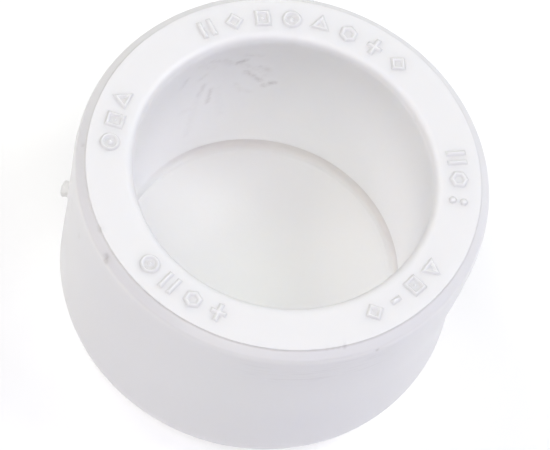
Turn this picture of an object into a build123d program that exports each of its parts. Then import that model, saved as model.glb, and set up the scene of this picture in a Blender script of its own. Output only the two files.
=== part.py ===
from build123d import *
import os

os.makedirs("parts", exist_ok=True)

# A socket-fusion end cap for 25 mm polypropylene pipe, in millimetres.
# Origin: centre of the closed end's outer face. +Z runs up the axis and out of the mouth.

# Heights, measured up from the closed end
total_height = 20.0
floor_height = 2.4
socket_root_height = 3.5
waist_height = 9.0
gate_height = 7.2

# Outside wall
base_radius = 16.42
base_edge_radius = 3.0
waist_radius = 16.33
shoulder_radius = 16.67
shoulder_drop = 1.4
band_radius = 16.42
band_drop = 0.6
rim_outer_radius = 15.8

# Socket
socket_radius = 12.0
mouth_edge_radius = 0.8
floor_radius = 11.62
floor_corner_radius = 0.5

# Raised marks on the rim face
mark_ring_radius = 14.0
mark_height = 0.22
mark_edge_radius = 0.06
stroke = 0.42
glyph_height = 1.6
glyph_width = 1.3
dash_length = 0.9
dot_radius = 0.3
dot_offset = 0.46

# Gate remnant on the wall
land_radius = 1.1
land_x = 16.25
land_cut_length = 1.0
nub_width = 1.3
nub_thickness = 1.05
nub_length = 0.8
nub_tip_radius = 0.3


def bar_pair():
    """Two short parallel bars, side by side."""
    with Locations((0, stroke), (0, -stroke)):
        Rectangle(glyph_height, stroke)


def target():
    """A ring with a dot in its middle."""
    Circle(glyph_height / 2)
    Circle(glyph_height / 2 - stroke * 0.8, mode=Mode.SUBTRACT)
    Circle(stroke / 2)


def outline(sides, turn):
    """A hollow regular polygon, one corner at the given turn."""
    outer = glyph_height / 2
    RegularPolygon(outer, sides, rotation=turn)
    RegularPolygon(outer - stroke * 1.1, sides, rotation=turn, mode=Mode.SUBTRACT)


def diamond():
    outline(4, 0)


def hexagon():
    outline(6, 0)


def triangle():
    """A hollow triangle that points outwards."""
    RegularPolygon(glyph_height * 0.6, 3)
    RegularPolygon(glyph_height * 0.22, 3, mode=Mode.SUBTRACT)


def frame_box():
    """A hollow square with a dot in its middle."""
    Rectangle(glyph_height * 0.92, glyph_width)
    Rectangle(glyph_height * 0.92 - stroke * 1.5, glyph_width - stroke * 1.5, mode=Mode.SUBTRACT)
    Circle(stroke * 0.35)


def cross():
    """Two bars that cross at right angles."""
    Rectangle(glyph_height, stroke)
    Rectangle(stroke, glyph_width)


def dash():
    """One short bar along the rim."""
    Rectangle(stroke, dash_length)


def dot_pair():
    """Two dots, one outside the other."""
    with Locations((dot_offset, 0), (-dot_offset, 0)):
        Circle(dot_radius)


# Each group: the angle of its first mark, the step to the next, and the marks in order
mark_groups = {
    "maker_marks": (
        131.7,
        -9.78,
        (bar_pair, diamond, frame_box, target, triangle, hexagon, cross, diamond),
    ),
    "class_marks": (23.4, -8.05, (bar_pair, hexagon, dot_pair)),
    "material_marks": (340.0, -8.45, (triangle, frame_box, dash, diamond)),
    "type_marks": (262.9, -9.07, (cross, hexagon, bar_pair, target)),
    "size_marks": (189.0, -8.35, (target, frame_box, triangle)),
}

# The cap itself: one moulding, turned from its half profile
shoulder_height = total_height - shoulder_drop
band_height = total_height - band_drop
mouth_radius = socket_radius + mouth_edge_radius

with BuildPart() as cap_body:
    with BuildSketch(Plane.XZ):
        with BuildLine():
            base_line = Line((0, 0), (base_radius, 0))
            lower_wall = Line(base_line @ 1, (waist_radius, waist_height))
            upper_wall = Line(lower_wall @ 1, (shoulder_radius, shoulder_height))
            shoulder = TangentArc(
                upper_wall @ 1, (band_radius, band_height), tangent=upper_wall % 1
            )
            band = Line(shoulder @ 1, (rim_outer_radius, total_height))
            rim_face = Line(band @ 1, (mouth_radius, total_height))
            mouth_edge = RadiusArc(
                rim_face @ 1, (socket_radius, total_height - mouth_edge_radius), -mouth_edge_radius
            )
            socket_wall = Line(mouth_edge @ 1, (socket_radius, socket_root_height))
            socket_root = Line(socket_wall @ 1, (floor_radius, floor_height))
            floor_line = Line(socket_root @ 1, (0, floor_height))
            Line(floor_line @ 1, base_line @ 0)
        make_face()
    revolve(axis=Axis.Z)
    base_edge = cap_body.edges().filter_by(GeomType.CIRCLE).group_by(Axis.Z)[0]
    fillet(base_edge, base_edge_radius)
    floor_edge = cap_body.edges().filter_by(GeomType.CIRCLE).filter_by(
        lambda edge: abs(edge.center().Z - floor_height) < 0.01
    )
    fillet(floor_edge, floor_corner_radius)
    # A shallow flat land on the wall carries the gate remnant
    land_plane = Plane(origin=(-land_x, 0, gate_height), x_dir=(0, 1, 0), z_dir=(-1, 0, 0))
    with BuildSketch(land_plane):
        Circle(land_radius)
    extrude(amount=land_cut_length, mode=Mode.SUBTRACT)

cap_body.part.label = "cap_body"
export_step(cap_body.part, "parts/cap_body.step")

# The raised marks: each group is a node of separate small solids on the rim face
for group_name, (first_angle, angle_step, marks) in mark_groups.items():
    with BuildPart() as mark_group:
        with BuildSketch(Plane.XY.offset(total_height)):
            for index, draw_mark in enumerate(marks):
                with PolarLocations(mark_ring_radius, 1, first_angle + index * angle_step):
                    draw_mark()
        extrude(amount=mark_height)
        fillet(mark_group.edges().group_by(Axis.Z)[-1], mark_edge_radius)

    mark_group.part.label = group_name
    export_step(mark_group.part, f"parts/{group_name}.step")

# The gate remnant: a small rounded stub left where the moulding was cut from its runner
with BuildPart() as gate_nub:
    with BuildSketch(land_plane):
        Ellipse(nub_width / 2, nub_thickness / 2)
    extrude(amount=nub_length)
    fillet(gate_nub.edges().sort_by(Axis.X)[0], nub_tip_radius)

gate_nub.part.label = "gate_nub"
export_step(gate_nub.part, "parts/gate_nub.step")
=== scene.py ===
import math

import bpy
import numpy as np
from mathutils import Matrix, Vector


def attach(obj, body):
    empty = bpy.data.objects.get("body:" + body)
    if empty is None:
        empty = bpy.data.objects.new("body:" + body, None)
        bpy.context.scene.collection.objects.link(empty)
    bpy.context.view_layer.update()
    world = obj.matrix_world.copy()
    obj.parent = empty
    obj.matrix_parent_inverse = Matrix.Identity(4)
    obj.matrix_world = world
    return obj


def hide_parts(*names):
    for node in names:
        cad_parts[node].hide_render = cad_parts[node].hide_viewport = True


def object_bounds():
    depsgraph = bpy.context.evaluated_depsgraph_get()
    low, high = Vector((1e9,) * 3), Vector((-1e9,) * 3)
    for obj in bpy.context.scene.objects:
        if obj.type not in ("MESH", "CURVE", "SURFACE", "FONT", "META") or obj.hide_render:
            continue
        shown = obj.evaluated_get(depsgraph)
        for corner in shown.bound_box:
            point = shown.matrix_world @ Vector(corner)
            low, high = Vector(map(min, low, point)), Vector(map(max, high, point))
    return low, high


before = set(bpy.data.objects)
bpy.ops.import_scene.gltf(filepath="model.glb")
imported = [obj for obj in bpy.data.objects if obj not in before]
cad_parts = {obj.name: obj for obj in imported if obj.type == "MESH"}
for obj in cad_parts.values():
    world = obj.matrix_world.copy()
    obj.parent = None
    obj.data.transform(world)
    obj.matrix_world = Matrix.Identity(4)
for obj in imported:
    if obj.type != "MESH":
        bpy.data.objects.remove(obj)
cad_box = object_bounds()

# Every measure of the cap is in millimetres, from the centre of the closed end's outer face.
MM = 0.001
FULL_TURN = 2 * math.pi

TOTAL_HEIGHT = 20.0
FLOOR_HEIGHT = 2.4
ROOT_HEIGHT = 3.5
WAIST_HEIGHT = 9.0
BASE_RADIUS = 16.42
BASE_EDGE = 3.0
WAIST_RADIUS = 16.33
WAIST_LEAN = 0.17
SHOULDER_RADIUS = 16.67
SHOULDER_HEIGHT = 18.6
BAND_RADIUS = 16.42
BAND_HEIGHT = 19.4
RIM_RADIUS = 15.8
RIM_STEP = 0.15
SOCKET_RADIUS = 12.0
MOUTH_EDGE = 0.8
FLOOR_RADIUS = 11.62
FLAT_FLOOR = 11.2
BEAD = (FLOOR_RADIUS, FLOOR_HEIGHT + 0.04)
# The groove at the socket's root, in section, and the turn at which it is deepest
GROOVE = ((12.13, 3.34), (12.19, 3.0), (12.17, 2.72), (12.06, 2.52), (11.90, 2.44), (11.76, 2.43))
GROOVE_MIDDLE = 68.0

SEGMENTS = 432


# --- shader building --------------------------------------------------------------------


class Value:
    """A number that varies over a surface, so that its maths can be written as Python."""

    def __init__(self, finish, socket):
        self.finish = finish
        self.socket = socket

    def maths(self, operation, *terms):
        made = self.finish.node("ShaderNodeMath", {"operation": operation}, dict(enumerate(terms)))
        return Value(self.finish, made.outputs[0])

    def __add__(self, other):
        return self.maths("ADD", self, other)

    def __sub__(self, other):
        return self.maths("SUBTRACT", self, other)

    def __rsub__(self, other):
        return self.maths("SUBTRACT", other, self)

    def __mul__(self, other):
        return self.maths("MULTIPLY", self, other)

    def __truediv__(self, other):
        return self.maths("DIVIDE", self, other)

    def __pow__(self, other):
        return self.maths("POWER", self, other)

    __radd__ = __add__
    __rmul__ = __mul__

    def most(self, other):
        return self.maths("MAXIMUM", self, other)

    def least(self, other):
        return self.maths("MINIMUM", self, other)

    def clamped(self):
        return self.most(0.0).least(1.0)

    def step(self, low, high):
        """0 at low, 1 at high, and smooth between them."""
        share = ((self - low) / (high - low)).clamped()
        return share * share * (3.0 - 2.0 * share)


class Finish:
    """One material, and the nodes it is made of."""

    def __init__(self, name):
        self.material = bpy.data.materials.new(name)
        self.material.use_nodes = True
        self.tree = self.material.node_tree
        self.tree.nodes.clear()
        self.place = self.node(
            "ShaderNodeVectorMath",
            {"operation": "SCALE"},
            {0: self.node("ShaderNodeTexCoord").outputs["Object"], "Scale": 1 / MM},
        ).outputs[0]
        parts = self.node("ShaderNodeSeparateXYZ", sockets={0: self.place})
        self.x, self.y, self.z = (Value(self, socket) for socket in parts.outputs)
        self.radius = (self.x * self.x + self.y * self.y) ** 0.5

    def node(self, kind, settings=None, sockets=None):
        made = self.tree.nodes.new(kind)
        for name, setting in (settings or {}).items():
            setattr(made, name, setting)
        for name, given in (sockets or {}).items():
            if isinstance(given, Value):
                given = given.socket
            if isinstance(given, bpy.types.NodeSocket):
                self.tree.links.new(given, made.inputs[name])
            else:
                made.inputs[name].default_value = given
        return made

    def stretched(self, along_x, along_y, along_z):
        return self.node(
            "ShaderNodeVectorMath",
            {"operation": "MULTIPLY"},
            {0: self.place, 1: (along_x, along_y, along_z)},
        ).outputs[0]

    def noise(self, per_mm, detail=2.0, place=None):
        made = self.node(
            "ShaderNodeTexNoise",
            {"noise_dimensions": "3D"},
            {"Vector": place or self.place, "Scale": per_mm, "Detail": detail},
        )
        return Value(self, made.outputs["Fac"])

    def painted(self, layer):
        """The number that the piece's mesh carries under that name."""
        made = self.node("ShaderNodeAttribute", {"attribute_name": layer})
        return Value(self, made.outputs["Fac"])

    def mixed(self, share, first, second):
        made = self.node(
            "ShaderNodeMix", {"data_type": "RGBA"}, {"Factor": share, "A": first, "B": second}
        )
        return made.outputs["Result"]

    def close(self, colour, roughness, height, **constants):
        """Ends the material: height is the bump in millimetres, and constants go on the shader."""
        bump = self.node(
            "ShaderNodeBump", sockets={"Strength": 1.0, "Distance": MM, "Height": height}
        )
        plastic = self.node(
            "ShaderNodeBsdfPrincipled",
            sockets={
                "Base Color": colour,
                "Roughness": roughness,
                "Normal": bump.outputs[0],
                "IOR": 1.49,
                **{name.replace("_", " "): value for name, value in constants.items()},
            },
        )
        self.node("ShaderNodeOutputMaterial", sockets={"Surface": plastic.outputs[0]})
        return self.material


# --- camera and light -------------------------------------------------------------------


def direction(turn, elevation):
    """The unit vector from the cap towards that side, in degrees."""
    a, e = math.radians(turn), math.radians(elevation)
    return Vector((math.cos(a) * math.cos(e), math.sin(a) * math.cos(e), math.sin(e)))


def aimed(back):
    """The turn that points -Z along -back with the world's up kept up."""
    right = Vector((0, 0, 1)).cross(back).normalized()
    return Matrix((right, back.cross(right), back)).transposed()


LENS = 198.665
CAMERA_TURN = 270.0
CAMERA_ELEVATION = 60.938
CAMERA_ROLL = 16.7285
CAMERA_DISTANCE = 248.741
AIM_OFF_CENTRE = (0.505, 0.353, 0.086)


def make_camera():
    low, high = cad_box
    centre = Vector((0, 0, (low.z + high.z) / 2))
    data = bpy.data.cameras.new("main_view")
    data.lens = LENS
    data.sensor_width = 36.0
    data.clip_start = 0.01
    data.clip_end = 10.0
    camera = bpy.data.objects.new("main_view", data)
    bpy.context.scene.collection.objects.link(camera)
    back = direction(CAMERA_TURN, CAMERA_ELEVATION)
    turned = aimed(back) @ Matrix.Rotation(math.radians(CAMERA_ROLL), 3, "Z")
    place = centre + (Vector(AIM_OFF_CENTRE) + back * CAMERA_DISTANCE) * MM
    camera.matrix_world = Matrix.Translation(place) @ turned.to_4x4()
    bpy.context.scene.camera = camera


NEUTRAL = (1.0, 1.0, 1.0)
WARM = (1.0, 0.97, 0.85)
ROSY = (1.0, 0.905, 0.975)
LEAFY = (0.96, 1.0, 0.92)
COOL = (0.79, 0.84, 1.0)
BLUE = (0.56, 0.52, 1.0)

# The soft lights round the cap: turn, elevation, side in metres, strength and tint
SOFTBOXES = {
    "back_left_box": (150.0, 54.0, 0.25, 0.54, LEAFY),
    "left_box": (190.0, 42.0, 0.25, 0.515, ROSY),
    "left_high_box": (215.0, 70.0, 0.25, 0.33, COOL),
    "right_box": (0.0, 42.0, 0.25, 0.28, BLUE),
    "back_right_box": (20.0, 56.0, 0.25, 0.83, LEAFY),
    "back_low_box": (45.0, 22.0, 0.35, 0.22, NEUTRAL),
    "front_box": (270.0, 60.0, 0.35, 0.40, WARM),
    "front_right_box": (315.0, 50.0, 0.35, 0.135, BLUE),
}
BOX_DISTANCE = 0.7
BOX_POWER = 31.1


def softbox(name, turn, elevation, side, strength, tint):
    data = bpy.data.lights.new(name, "AREA")
    data.size = side
    data.energy = BOX_POWER * side * side * strength
    data.color = tint
    lamp = bpy.data.objects.new(name, data)
    bpy.context.scene.collection.objects.link(lamp)
    back = direction(turn, elevation)
    lamp.matrix_world = Matrix.Translation(back * BOX_DISTANCE) @ aimed(back).to_4x4()
    lamp.visible_camera = False


def make_light():
    """The boxes give all the light, so the world round them is dark."""
    scene = bpy.context.scene
    scene.view_settings.view_transform = "Standard"
    world = bpy.data.worlds.new("studio")
    world.use_nodes = True
    world.node_tree.nodes["Background"].inputs["Strength"].default_value = 0.0
    scene.world = world
    for name, measures in SOFTBOXES.items():
        softbox(name, *measures)


def grey(level):
    return (level, level, level, 1)


def new_piece(name, points, faces):
    mesh = bpy.data.meshes.new(name)
    mesh.from_pydata(points, [], faces)
    mesh.validate()
    mesh.polygons.foreach_set("use_smooth", [True] * len(mesh.polygons))
    mesh.update()
    piece = bpy.data.objects.new(name, mesh)
    bpy.context.scene.collection.objects.link(piece)
    return piece


def around(count):
    """That many turns round the axis, in radians."""
    return FULL_TURN * np.arange(count)[None, :] / count


def lathed(name, radii, heights, turn):
    """A turned piece from rows of rings. A first or last row of radius 0 becomes one point."""
    grid = np.stack([radii * np.cos(turn), radii * np.sin(turn), heights + 0 * turn], 2)
    starts, ends = not radii[0].any(), not radii[-1].any()
    rings = grid[int(starts) : len(grid) - int(ends)]
    steps = rings.shape[1]
    here = np.arange(len(rings) * steps).reshape(-1, steps)
    ahead = np.roll(here, -1, 1)
    quads = np.stack([here[:-1], ahead[:-1], ahead[1:], here[1:]], 2).reshape(-1, 4)
    points, faces = rings.reshape(-1, 3).tolist(), quads.tolist()
    if starts:
        faces += [(len(points), b, a) for a, b in zip(here[0].tolist(), ahead[0].tolist())]
        points.append(grid[0, 0].tolist())
    if ends:
        faces += [(len(points), a, b) for a, b in zip(here[-1].tolist(), ahead[-1].tolist())]
        points.append(grid[-1, 0].tolist())
    return new_piece(name, points, faces)


FLOOR_REACH = 1.1
FLOOR_RINGS = 12
FLOOR_GLOW = 0.45
FAR_GLOW = 0.95
DOME_RINGS = 16
DOME_GLOW = 0.92


def make_floor():
    radii = FLOOR_REACH * (np.arange(FLOOR_RINGS, -1, -1)[:, None] / FLOOR_RINGS) ** 2
    turn = around(96)
    floor = lathed("studio_floor", radii + 0 * turn, cad_box[0].z + 0 * radii, turn)
    floor.data.materials.append(pale_paper())


def pale_paper():
    paper = Finish("pale_paper")
    grain = paper.noise(0.4, 3.0)
    far = (paper.radius * MM).step(0.18, 0.75)
    return paper.close(
        paper.mixed(grain, grey(0.595), grey(0.615)),
        0.8 + 0.1 * grain,
        0.01 * grain,
        Emission_Color=paper.mixed(far, grey(FLOOR_GLOW), grey(FAR_GLOW)),
        Emission_Strength=1.0,
    )


def make_backdrop():
    """A pale dome on the floor's edge, so that low views end in white paper too."""
    fall = np.pi / 2 * np.arange(DOME_RINGS + 1)[:, None] / DOME_RINGS
    turn = around(64)
    radii, heights = FLOOR_REACH * np.sin(fall), FLOOR_REACH * np.cos(fall)
    dome = lathed("studio_backdrop", radii + 0 * turn, cad_box[0].z + heights, turn)
    dome.data.materials.append(backdrop_paper())
    dome.visible_diffuse = False
    dome.visible_glossy = False
    dome.visible_transmission = False
    dome.visible_volume_scatter = False
    dome.visible_shadow = False


def backdrop_paper():
    paper = Finish("backdrop_paper")
    grain = paper.noise(0.01, 2.0)
    return paper.close(
        paper.mixed(grain, grey(0.60), grey(0.62)),
        0.9 + 0.05 * grain,
        0.01 * grain,
        Emission_Color=grey(DOME_GLOW),
        Emission_Strength=1.0,
    )


# --- the cap ----------------------------------------------------------------------------


def run(start, end, step):
    """Points from start towards end, the last one left out."""
    length = math.dist(start, end)
    count = max(1, round(length / step))
    share = np.arange(count)[:, None] / count
    return np.array(start) * (1 - share) + np.array(end) * share


def bow(centre, radii, first, last, count):
    """Points along part of an ellipse, angles in degrees, the last one left out."""
    angle = np.radians(first + (last - first) * np.arange(count) / count)
    return np.stack(
        [centre[0] + radii[0] * np.cos(angle), centre[1] + radii[1] * np.sin(angle)], 1
    )


def rounded(corners, count):
    """Points along a smooth line through the corners, the last one left out."""
    knots = np.array([corners[0], *corners, corners[-1]])
    points = []
    for index in range(len(corners) - 1):
        before, start, end, after = knots[index : index + 4]
        for share in np.arange(count) / count:
            pull = (end - before, after - start)
            cube, square = share**3, share**2
            points.append(
                (2 * cube - 3 * square + 1) * start
                + (cube - 2 * square + share) * pull[0] / 2
                + (3 * square - 2 * cube) * end
                + (cube - square) * pull[1] / 2
            )
    return np.array(points)


def cap_profile():
    """The half section, from the middle of the closed end round to the middle of the floor."""
    shoulder_bow = SHOULDER_RADIUS - BAND_RADIUS
    rim_low = TOTAL_HEIGHT - RIM_STEP + 0.02
    rim_out = RIM_RADIUS + 0.03
    edge = 0.04
    corner = rim_out - 0.01 - edge
    mouth = SOCKET_RADIUS + MOUTH_EDGE
    mouth_low = TOTAL_HEIGHT - MOUTH_EDGE
    root_high = ROOT_HEIGHT + 0.1
    flat_end = BASE_RADIUS - BASE_EDGE
    sections = [
        run((0.0, 0.0), (flat_end, 0.0), 1.2),
        bow((flat_end, BASE_EDGE), (BASE_EDGE, BASE_EDGE), -90, 0, 14),
        run((BASE_RADIUS, BASE_EDGE), (SHOULDER_RADIUS, SHOULDER_HEIGHT), 0.45),
        bow(
            (BAND_RADIUS, SHOULDER_HEIGHT),
            (shoulder_bow, BAND_HEIGHT - SHOULDER_HEIGHT),
            0,
            62,
            8,
        ),
        run((BAND_RADIUS + shoulder_bow * 0.3, BAND_HEIGHT), (rim_out + 0.05, rim_low), 0.11),
        run((rim_out, rim_low), (rim_out - 0.01, TOTAL_HEIGHT - edge), 0.03),
        bow((corner, TOTAL_HEIGHT - edge), (edge, edge), 0, 90, 4),
        run((corner, TOTAL_HEIGHT), (mouth, TOTAL_HEIGHT), 0.3),
        bow((mouth, mouth_low), (MOUTH_EDGE, MOUTH_EDGE), 90, 180, 14),
        run((SOCKET_RADIUS, mouth_low), (SOCKET_RADIUS, root_high), 0.27),
        run((SOCKET_RADIUS, root_high), (SOCKET_RADIUS, ROOT_HEIGHT), 0.03),
        rounded([(SOCKET_RADIUS + 0.01, ROOT_HEIGHT - 0.02), *GROOVE, BEAD], 4),
        rounded([BEAD, (FLOOR_RADIUS - 0.15, BEAD[1] + 0.01), (FLAT_FLOOR, FLOOR_HEIGHT)], 4),
        run((FLAT_FLOOR, FLOOR_HEIGHT), (0.0, FLOOR_HEIGHT), 0.75),
        np.array([[0.0, FLOOR_HEIGHT]]),
    ]
    return np.concatenate(sections)


def wall_radius(height, turn):
    """The outside wall is drawn in at its waist, more on one side than on the other."""
    above = height - WAIST_HEIGHT
    lower = BASE_RADIUS + (WAIST_RADIUS - BASE_RADIUS) * height / WAIST_HEIGHT
    rise = above / (SHOULDER_HEIGHT - WAIST_HEIGHT)
    upper = WAIST_RADIUS + (SHOULDER_RADIUS - WAIST_RADIUS) * rise
    blend = 0.25
    meet = blend * np.logaddexp(lower / blend, upper / blend)
    meet = meet - blend * math.log(2) * np.exp(-((above / 3.0) ** 2))
    return meet - WAIST_LEAN * np.exp(-((above / 4.2) ** 2)) * np.cos(turn)


def wandering(turn, height, draws, size):
    """A slow unevenness of a moulded wall, of about that size."""
    total = np.zeros(np.broadcast(turn, height).shape)
    for lobes, pitch in ((2, 0.11), (3, 0.17), (5, 0.23), (9, 0.31), (14, 0.5)):
        phase, lift = draws.uniform(0, FULL_TURN, 2)
        total = total + np.sin(lobes * turn + phase) * np.cos(pitch * height + lift) / lobes**0.5
    return size * total


# Dents at the rim's outer edge: turn in degrees, height, reach around, reach up, depth
NICKS = (
    (226.7, 19.45, 0.34, 0.16, 0.16),
    (190.9, 19.72, 0.16, 0.10, 0.08),
    (218.3, 19.95, 0.20, 0.08, 0.09),
    (337.1, 19.86, 0.18, 0.10, 0.08),
    (310.8, 19.05, 0.16, 0.10, 0.07),
    (297.2, 19.90, 0.08, 0.06, 0.06),
    (298.8, 19.90, 0.08, 0.06, 0.06),
    (300.9, 19.90, 0.10, 0.06, 0.06),
    (212.8, 16.1, 0.22, 0.35, 0.05),
)


def eased(share):
    share = np.clip(share, 0, 1)
    return share * share * (3 - 2 * share)


def smudge(turn, height, start, end, wall, width):
    """1 along a line on the wall of that radius, from (turn, height) to (turn, height)."""
    first = np.array([math.radians(start[0]) * wall, start[1]])
    reach = np.array([math.radians(end[0]) * wall, end[1]]) - first
    off, lift = turn * wall - first[0], height - first[1]
    share = (off * reach[0] + lift * reach[1]) / max(reach @ reach, 0.0001)
    share = np.clip(share, 0, 1)
    gap = np.hypot(off - share * reach[0], lift - share * reach[1])
    return 1 - eased(gap / width)


def soiling(radius, height, turn):
    """How dirty the moulding is at each of its points."""
    soil = np.zeros(np.broadcast(radius, height, turn).shape)
    for wall, smudges in ((SOCKET_RADIUS, SOCKET_SMUDGES), (BASE_RADIUS, WALL_SMUDGES)):
        near = 1 - eased((np.abs(radius - wall) - 0.5) / 0.6)
        for start, end, width, strength in smudges:
            spot = strength * near * smudge(turn, height, start, end, wall, width)
            soil = np.maximum(soil, spot)
    return soil


def fade_groove(radii, heights, turn):
    """The root's groove is cut deep on one side only, and is a plain bevel elsewhere."""
    radius, height = radii[:, 0], heights[:, 0]
    rows = np.nonzero((radius > FLOOR_RADIUS) & (radius < 12.5) & (height < ROOT_HEIGHT))[0]
    share = (np.arange(len(rows)) / len(rows))[:, None]
    off = np.abs((np.degrees(turn) - GROOVE_MIDDLE + 180) % 360 - 180)
    plain = 0.85 * eased((off - 46.0) / 56.0)
    bevel_radius = SOCKET_RADIUS + (BEAD[0] - SOCKET_RADIUS) * share
    bevel_height = ROOT_HEIGHT + (BEAD[1] - ROOT_HEIGHT) * share
    radii, heights = radii.copy(), heights.copy()
    radii[rows] += (bevel_radius - radii[rows]) * plain
    heights[rows] += (bevel_height - heights[rows]) * plain
    return radii, heights


def worn_radii(radius, height, turn):
    """The turned section with its waist, the moulding's unevenness and the dents at the rim."""
    draws = np.random.default_rng(25)
    on_wall = (radius > BASE_RADIUS - 0.001) & (height >= BASE_EDGE) & (height < SHOULDER_HEIGHT)
    share = (height - BASE_EDGE) / (SHOULDER_HEIGHT - BASE_EDGE)
    straight = BASE_RADIUS + (SHOULDER_RADIUS - BASE_RADIUS) * share
    radii = radius + np.where(on_wall, wall_radius(height, turn) - straight, 0.0)
    outside = np.clip((radius - 14.0) / 1.5, 0, 1)
    radii = radii + outside * wandering(turn, height, draws, 0.006)
    rim_edge = np.exp(-(((height - 19.7) / 0.3) ** 2)) * (radius > 15.5)
    radii = radii + rim_edge * wandering(turn * 5, 0 * height, draws, 0.012)
    for at, level, reach, up, depth in NICKS:
        off = (turn - math.radians(at)) * SHOULDER_RADIUS
        fall = np.exp(-((off / reach) ** 2) - ((height - level) / up) ** 2)
        radii = radii - depth * fall * (radius > 15.3)
    return radii


def make_cap():
    section = cap_profile()
    turn = around(SEGMENTS)
    radii = worn_radii(section[:, :1], section[:, 1:], turn)
    heights = np.repeat(section[:, 1:], SEGMENTS, 1)
    radii, heights = fade_groove(radii, heights, turn)
    cap = lathed("cap_moulding", radii * MM, heights * MM, turn)
    soil = soiling(radii, heights, turn)
    carried = np.concatenate([soil[1:-1].ravel(), soil[:1, 0], soil[-1:, 0]])
    layer = cap.data.attributes.new("soil", "FLOAT", "POINT")
    layer.data.foreach_set("value", carried.astype(np.float32))
    cap.data.materials.append(cap_plastic())
    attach(cap, "root")
    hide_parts("cap_body")


# Light soaks about a millimetre into the filled plastic and comes out again
SOAK = {
    "Subsurface_Weight": 0.6,
    "Subsurface_Radius": (1.0, 0.95, 0.88),
    "Subsurface_Scale": 1.3 * MM,
}
WHITE = (0.866, 0.862, 0.857, 1)
WHITE_DEEP = (0.855, 0.850, 0.844, 1)
# Painted light: the socket lighter than the outside
PAINTED_SOCKET_LIGHT = (0.992, 0.988, 0.978, 1)
# Painted shade and light: the socket floor darker far off, lighter towards the front
PAINTED_FLOOR_FAR_SHADE = (0.842, 0.840, 0.832, 1)
PAINTED_FLOOR_NEAR_LIGHT = (0.920, 0.918, 0.922, 1)
# Painted shade: the band greyer all round, and more on its left
PAINTED_BAND_SHADE = (0.800, 0.794, 0.794, 1)
PAINTED_BAND_LEFT_SHADE = (0.750, 0.742, 0.752, 1)
# Painted shade: the front of the outside wall greyer
PAINTED_FRONT_SHADE = (0.834, 0.829, 0.842, 1)
# Painted shade: a grey line on the small step at the rim's outer edge
PAINTED_STEP_SHADE = (0.74, 0.73, 0.725, 1)
GRIME = (0.40, 0.375, 0.355, 1)
SCUFF_GREY = (0.62, 0.60, 0.62, 1)
# Painted shade: the groove at the socket's root darker and browner, and how much
PAINTED_GROOVE_SHADE = (0.81, 0.785, 0.765, 1)
GROOVE_SHADE_SHARE = 0.85


# Rubbed dirt on the socket wall: from (turn, height) to (turn, height), width, strength
SOCKET_SMUDGES = (
    ((121.0, 16.6), (118.0, 16.9), 0.50, 0.95),
    ((119.5, 16.5), (116.5, 15.9), 0.75, 0.40),
    ((127.0, 17.5), (124.0, 16.8), 0.55, 0.50),
    ((116.8, 15.0), (110.0, 13.4), 0.55, 0.70),
    ((114.0, 15.4), (108.5, 14.4), 0.90, 0.28),
    ((111.4, 15.6), (107.5, 15.1), 0.50, 0.55),
    ((118.5, 17.7), (112.0, 17.4), 0.45, 0.35),
    ((106.0, 13.0), (104.2, 13.1), 0.45, 0.90),
    ((108.6, 12.8), (107.8, 12.5), 0.42, 0.80),
    ((133.0, 18.1), (129.5, 17.7), 0.40, 0.42),
    ((137.7, 18.1), (131.4, 16.9), 0.60, 0.22),
    ((120.0, 13.2), (117.0, 12.0), 0.50, 0.26),
    ((117.0, 12.0), (112.7, 11.6), 0.45, 0.22),
    ((130.6, 13.3), (130.6, 11.2), 0.46, 0.62),
    ((134.3, 14.5), (135.7, 13.0), 0.55, 0.46),
    ((135.7, 13.0), (137.5, 6.8), 0.70, 0.18),
    ((134.7, 16.2), (136.5, 15.9), 0.50, 0.32),
    ((143.9, 17.0), (145.6, 16.3), 0.60, 0.40),
    ((127.7, 13.2), (123.3, 8.6), 0.65, 0.14),
    ((137.2, 11.2), (142.8, 11.5), 0.70, 0.16),
)
# Dirt caught on the outside: the same measures
WALL_SMUDGES = (
    ((226.2, 19.5), (227.2, 19.3), 0.30, 1.0),
    ((217.9, 19.9), (218.9, 19.9), 0.22, 0.9),
    ((190.9, 19.7), (190.9, 19.7), 0.16, 0.9),
    ((337.1, 19.8), (337.1, 19.8), 0.16, 0.7),
    ((296.9, 19.9), (296.9, 19.9), 0.17, 0.6),
    ((298.5, 19.9), (298.5, 19.9), 0.15, 0.4),
    ((299.9, 19.9), (299.9, 19.9), 0.15, 0.5),
    ((301.6, 19.9), (301.6, 19.9), 0.20, 1.0),
    ((310.8, 19.0), (310.8, 19.1), 0.20, 0.7),
    ((212.8, 16.3), (212.4, 15.7), 0.26, 0.4),
    ((259.2, 6.8), (259.2, 6.8), 0.20, 0.5),
    ((225.4, 8.2), (225.4, 8.2), 0.20, 0.4),
    ((202.0, 16.4), (203.0, 15.6), 0.30, 0.3),
)


def cap_plastic():
    finish = Finish("moulded_white_polypropylene")
    cloud = finish.noise(0.12, 3.0)
    grain = finish.noise(6.0, 3.0)
    # The outside and socket colours hold painted light and shade, under the dirt and scratches
    outside = outside_colour(finish, finish.mixed(cloud, WHITE, WHITE_DEEP))
    clean = socket_colour(finish, outside)
    broken = 0.5 + 0.5 * finish.noise(2.6, 3.0).step(0.36, 0.64)
    dirt = finish.painted("soil") * broken
    soiled = finish.mixed(dirt * 0.48, clean, GRIME)
    scratches = scratched(finish)
    colour = finish.mixed(scratches * 0.20, soiled, SCUFF_GREY)
    roughness = 0.42 + 0.12 * (grain - 0.5) + 0.08 * (cloud - 0.5) + 0.2 * dirt
    height = 0.004 * grain + 0.006 * finish.noise(1.2, 2.0) - 0.012 * scratches - 0.01 * dirt
    return finish.close(colour, roughness, height, **SOAK)


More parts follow.
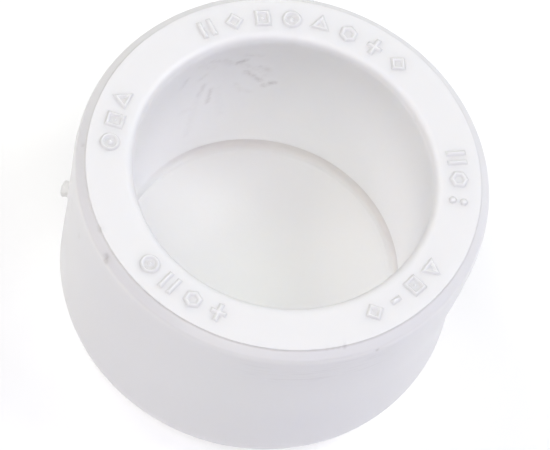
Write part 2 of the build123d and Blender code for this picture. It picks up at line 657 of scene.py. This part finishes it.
def outside_colour(finish, white):
    """Painted shade on one plastic: the wall a little greyer at the front, the band greyer all
    round and more on its left, and the rim's step greyest.
    """
    on_wall = finish.radius.step(14.5, 15.5) * (1.0 - finish.z.step(18.8, 19.4))
    # Painted shade: the wall greyer towards its front (-y)
    forward = (-1.0 * finish.y).step(6.0, 15.0)
    front_shaded = finish.mixed(on_wall * forward, white, PAINTED_FRONT_SHADE)
    # Painted shade: the band between rim and shoulder greyer, more on its left
    beyond_rim = finish.radius.step(RIM_RADIUS - 0.05, RIM_RADIUS + 0.05)
    leftward = (finish.x * -0.8 - finish.y * 0.6).step(11.0, 15.5)
    band = finish.mixed(leftward, PAINTED_BAND_SHADE, PAINTED_BAND_LEFT_SHADE)
    band_shaded = finish.mixed(beyond_rim * finish.z.step(19.1, 19.5), front_shaded, band)
    # Painted shade: the small step at the rim's outer edge greyest
    step_foot = TOTAL_HEIGHT - RIM_STEP
    on_step = (
        finish.radius.step(RIM_RADIUS - 0.06, RIM_RADIUS)
        * finish.z.step(step_foot - 0.05, step_foot + 0.01)
        * (1.0 - finish.z.step(TOTAL_HEIGHT - 0.05, TOTAL_HEIGHT - 0.01))
    )
    return finish.mixed(on_step, band_shaded, PAINTED_STEP_SHADE)


def socket_colour(finish, outside):
    """Painted light and shade: the socket lighter than the outside, its floor darker far off and
    lighter towards the front, and the groove at its root darker and browner on its far side.
    """
    # Painted light: the socket wall lighter than the outside
    in_socket = (
        (1.0 - finish.radius.step(12.3, 13.0))
        * finish.z.step(1.0, 2.0)
        * (1.0 - finish.z.step(19.1, 19.75))
    )
    socket_lit = finish.mixed(in_socket, outside, PAINTED_SOCKET_LIGHT)
    # Painted shade and light: the floor darker far off and lighter towards the front (-y)
    on_floor = in_socket * (1.0 - finish.z.step(FLOOR_HEIGHT + 0.1, ROOT_HEIGHT))
    floor = finish.mixed((-1.0 * finish.y).step(-3.0, 8.0), PAINTED_FLOOR_FAR_SHADE, PAINTED_FLOOR_NEAR_LIGHT)
    floored = finish.mixed(on_floor, socket_lit, floor)
    # Painted shade: the root's groove darker and browner on its far right side, where it lies in
    # shade
    in_groove = (
        (1.0 - finish.z.step(ROOT_HEIGHT - 0.25, ROOT_HEIGHT))
        * finish.z.step(0.5, 1.0)
        * finish.radius.step(FLOOR_RADIUS, SOCKET_RADIUS)
        * (1.0 - finish.radius.step(12.6, 13.0))
        * finish.z.step(FLOOR_HEIGHT - 0.05, FLOOR_HEIGHT + 0.06)
    )
    far_right = (finish.x * 0.26 + finish.y * 0.97).step(0.0, 10.5)
    return finish.mixed(in_groove * far_right * GROOVE_SHADE_SHARE, floored, PAINTED_GROOVE_SHADE)


def scratched(finish):
    """Fine scratches round the wall, in one patch under the band."""
    drawn = finish.noise(1.0, 4.0, finish.stretched(0.35, 0.35, 7.0)).step(0.50, 0.66)
    under_band = finish.z.step(14.5, 16.5) * (1.0 - finish.z.step(18.6, 19.2))
    front_right = (finish.x * 0.44 - finish.y * 0.90).step(14.9, 16.2)
    return drawn * under_band * front_right


# --- the raised marks -------------------------------------------------------------------

MARK_RING = 14.0
MARK_HEIGHT = 0.22
STROKE = 0.42
MARK_LONG = 1.6
MARK_WIDE = 1.3
MARK_GRID = 0.045
MARK_FOOT = 0.09
MARK_ROUND = 0.20
MARK_SUNK = 0.03
MARK_ROOT = 0.12
# Painted shade: the marks greyer at their foot, where they meet the rim
PAINTED_FOOT_SHADE = (0.70, 0.69, 0.69, 1)


def disc(u, v, radius, at=0.0):
    return np.hypot(u - at, v) - radius


def box(u, v, long, wide, aside=0.0):
    along, across = np.abs(u) - long / 2, np.abs(v - aside) - wide / 2
    outside = np.hypot(np.maximum(along, 0), np.maximum(across, 0))
    return outside + np.minimum(np.maximum(along, across), 0)


def polygon(u, v, corner, sides):
    """A regular polygon with one corner pointing outwards along u."""
    apothem = corner * math.cos(math.pi / sides)
    turns = [(index + 0.5) * FULL_TURN / sides for index in range(sides)]
    return np.max([u * math.cos(a) + v * math.sin(a) for a in turns], 0) - apothem


def hollow(outer, inner):
    return np.maximum(outer, -inner)


def bar_pair(u, v):
    return np.minimum(box(u, v, MARK_LONG, STROKE, STROKE), box(u, v, MARK_LONG, STROKE, -STROKE))


def target(u, v):
    outer = MARK_LONG / 2
    ring = hollow(disc(u, v, outer), disc(u, v, outer - STROKE * 0.8))
    return np.minimum(ring, disc(u, v, STROKE / 2))


def outline(u, v, sides):
    outer = MARK_LONG / 2
    return hollow(polygon(u, v, outer, sides), polygon(u, v, outer - STROKE * 1.1, sides))


def diamond(u, v):
    return outline(u, v, 4)


def hexagon(u, v):
    return outline(u, v, 6)


def triangle(u, v):
    return hollow(polygon(u, v, MARK_LONG * 0.6, 3), polygon(u, v, MARK_LONG * 0.22, 3))


def frame_box(u, v):
    long = MARK_LONG * 0.92
    inner = box(u, v, long - STROKE * 1.5, MARK_WIDE - STROKE * 1.5)
    return np.minimum(hollow(box(u, v, long, MARK_WIDE), inner), disc(u, v, STROKE * 0.35))


def cross(u, v):
    return np.minimum(box(u, v, MARK_LONG, STROKE), box(u, v, STROKE, MARK_WIDE))


def dash(u, v):
    return box(u, v, STROKE, 0.9)


def dot_pair(u, v):
    return np.minimum(disc(u, v, 0.3, 0.46), disc(u, v, 0.3, -0.46))


# Each group: the turn of its first mark, the step to the next, and the marks in order
MARK_GROUPS = {
    "maker_marks": (
        131.7,
        -9.78,
        (bar_pair, diamond, frame_box, target, triangle, hexagon, cross, diamond),
    ),
    "class_marks": (23.4, -8.05, (bar_pair, hexagon, dot_pair)),
    "material_marks": (340.0, -8.45, (triangle, frame_box, dash, diamond)),
    "type_marks": (262.9, -9.07, (cross, hexagon, bar_pair, target)),
    "size_marks": (189.0, -8.35, (target, frame_box, triangle)),
}


def mark_relief(draw, turn, draws):
    """One mark as a small closed relief: a rounded top, and a flat underside sunk in the rim."""
    reach = MARK_LONG / 2 + 0.3
    line = np.arange(-reach, reach + MARK_GRID, MARK_GRID)
    u, v = np.meshgrid(line, line, indexing="ij")
    waver = 0.012 * np.sin(u * 5.1 + draws.uniform(0, 6)) * np.cos(v * 6.3 + draws.uniform(0, 6))
    depth = (MARK_FOOT - draw(u, v) - waver) / (MARK_FOOT + MARK_ROUND)
    share = np.clip(depth, 0, 1)
    top = MARK_HEIGHT * draws.uniform(0.9, 1.0) * share * share * (3 - 2 * share) - MARK_SUNK
    raised = top > -MARK_SUNK + 0.002
    kept = raised[:-1, :-1] | raised[1:, :-1] | raised[:-1, 1:] | raised[1:, 1:]
    side = len(line)
    index = np.arange(side * side).reshape(side, side)
    cells = [
        (index[i, j], index[i + 1, j], index[i + 1, j + 1], index[i, j + 1])
        for i, j in zip(*np.nonzero(kept))
    ]
    edges = [edge for cell in cells for edge in zip(cell, cell[1:] + cell[:1])]
    known = set(edges)
    border = [(a, b) for a, b in edges if (b, a) not in known]
    used = sorted({corner for cell in cells for corner in cell})
    place = {corner: number for number, corner in enumerate(used)}
    flat_u, flat_v, flat_top = u.ravel()[used], v.ravel()[used], top.ravel()[used]
    angle = math.radians(turn)
    out = MARK_RING + flat_u
    x = out * math.cos(angle) - flat_v * math.sin(angle)
    y = out * math.sin(angle) + flat_v * math.cos(angle)
    upper = np.stack([x, y, TOTAL_HEIGHT + flat_top], 1)
    lower = np.stack([x, y, np.full(len(used), TOTAL_HEIGHT - MARK_ROOT)], 1)
    under = len(used)
    faces = [tuple(place[corner] for corner in cell) for cell in cells]
    faces += [tuple(place[corner] + under for corner in reversed(cell)) for cell in cells]
    faces += [(place[a], place[a] + under, place[b] + under, place[b]) for a, b in border]
    return np.concatenate([upper, lower]), faces


def make_marks():
    draws = np.random.default_rng(14)
    plastic = mark_plastic()
    for group, (first, step, marks) in MARK_GROUPS.items():
        points, faces = [], []
        for number, draw in enumerate(marks):
            places, cells = mark_relief(draw, first + number * step, draws)
            start = sum(len(part) for part in points)
            points.append(places)
            faces += [tuple(corner + start for corner in cell) for cell in cells]
        relief = new_piece(
            group.replace("marks", "relief"), (np.concatenate(points) * MM).tolist(), faces
        )
        relief.data.materials.append(plastic)
        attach(relief, "root")
        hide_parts(group)


def mark_plastic():
    finish = Finish("raised_mark_polypropylene")
    cloud = finish.noise(0.12, 3.0)
    grain = finish.noise(7.0, 3.0)
    clean = finish.mixed(cloud, WHITE, WHITE_DEEP)
    # Painted shade: each mark greyer low down at its foot
    at_foot = 1.0 - finish.z.step(TOTAL_HEIGHT + 0.02, TOTAL_HEIGHT + 0.16)
    colour = finish.mixed(at_foot * 0.5, clean, PAINTED_FOOT_SHADE)
    roughness = 0.42 + 0.12 * (grain - 0.5)
    return finish.close(colour, roughness, 0.004 * grain)


# --- the gate stub ----------------------------------------------------------------------

GATE_HEIGHT = 7.2
STUB_AROUND = 40
# The torn stub, from inside the wall to its tip: distance out, half width, half thickness, drop
STUB_RINGS = (
    (16.20, 1.00, 0.95, 0.00),
    (16.46, 0.86, 0.78, 0.00),
    (16.56, 0.70, 0.62, 0.02),
    (16.66, 0.62, 0.56, 0.04),
    (16.80, 0.66, 0.58, 0.06),
    (16.94, 0.72, 0.62, 0.08),
    (17.08, 0.72, 0.62, 0.08),
    (17.20, 0.62, 0.54, 0.07),
    (17.28, 0.44, 0.38, 0.06),
    (17.32, 0.20, 0.18, 0.06),
)
STUB_ASIDE = -0.38


def make_stub():
    draws = np.random.default_rng(7)
    phases = draws.uniform(0, FULL_TURN, 6)
    points, faces = [], []
    for number, (out, wide, thick, drop) in enumerate(STUB_RINGS):
        for index in range(STUB_AROUND):
            angle = FULL_TURN * index / STUB_AROUND
            ragged = 1.0
            ragged += 0.07 * math.sin(3 * angle + phases[0] + number * 0.5)
            ragged += 0.05 * math.sin(5 * angle + phases[1] - number * 0.7)
            ragged += 0.03 * math.sin(8 * angle + phases[2] + number)
            y = wide * ragged * math.cos(angle) + STUB_ASIDE
            z = GATE_HEIGHT + thick * ragged * math.sin(angle) - drop
            points.append((-out, y, z))
    rings = len(STUB_RINGS)
    for number in range(rings - 1):
        for index in range(STUB_AROUND):
            nxt = (index + 1) % STUB_AROUND
            low, high = number * STUB_AROUND, (number + 1) * STUB_AROUND
            faces.append((low + nxt, low + index, high + index, high + nxt))
    faces.append(tuple(range(STUB_AROUND)))
    top = (rings - 1) * STUB_AROUND
    faces.append(tuple(top + index for index in reversed(range(STUB_AROUND))))
    stub = new_piece("gate_stub", (np.array(points) * MM).tolist(), faces)
    rounding = stub.modifiers.new("rounding", "SUBSURF")
    rounding.levels = 1
    rounding.render_levels = 1
    stub.data.materials.append(gate_plastic())
    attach(stub, "root")
    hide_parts("gate_nub")


def gate_plastic():
    finish = Finish("torn_gate_polypropylene")
    tear = finish.noise(3.5, 4.0)
    colour = finish.mixed(tear, (0.93, 0.925, 0.91, 1), (0.87, 0.865, 0.85, 1))
    return finish.close(colour, 0.5 + 0.2 * tear, 0.05 * tear)


make_camera()
make_light()
make_floor()
make_backdrop()
make_cap()
make_marks()
make_stub()
